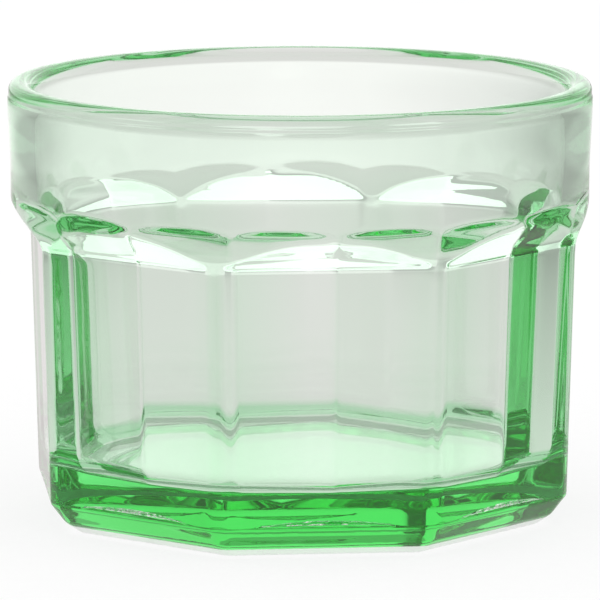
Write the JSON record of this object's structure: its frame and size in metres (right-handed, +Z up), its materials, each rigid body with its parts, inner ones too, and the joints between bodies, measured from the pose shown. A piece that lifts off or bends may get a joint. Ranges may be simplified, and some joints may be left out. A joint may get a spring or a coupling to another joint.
{
  "type": "juice glass",
  "caption": "Low pressed-glass juice tumbler: round band and rim above flat arched panels, thick solid base, green tint.",
  "frame": {"origin": "centre of the foot, on the plane that the glass stands on", "axes": "+Z up along the axis of the glass, one flat panel faces -Y"},
  "size_m": [0.08, 0.08, 0.06],
  "materials": {
    "green_glass": "fire-polished, smooth"
  },
  "bodies": {
    "root": {"glass": "green_glass"}
  },
  "joints": []
}
